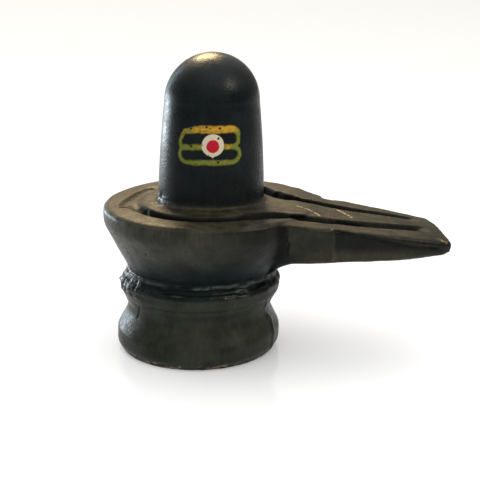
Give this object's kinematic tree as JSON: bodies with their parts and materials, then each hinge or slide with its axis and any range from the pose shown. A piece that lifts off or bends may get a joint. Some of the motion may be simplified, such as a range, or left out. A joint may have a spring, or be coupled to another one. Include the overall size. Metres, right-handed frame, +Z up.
{
  "type": "shiva lingam",
  "caption": "Small black stone shiva lingam: a domed shaft rising from a round yoni bowl with a long tapering spout, on a waisted foot, with a painted forehead mark.",
  "frame": {"origin": "centre of the flat underside of the foot", "axes": "+Z up, +X along the spout, the painted mark faces -Y"},
  "size_m": [0.1169, 0.0732, 0.1018],
  "materials": {
    "blackened_stone": "satin, hand rubbed black with a brushed yellow-green and red mark"
  },
  "bodies": {
    "root": {"shiva_lingam": "blackened_stone"}
  },
  "joints": []
}
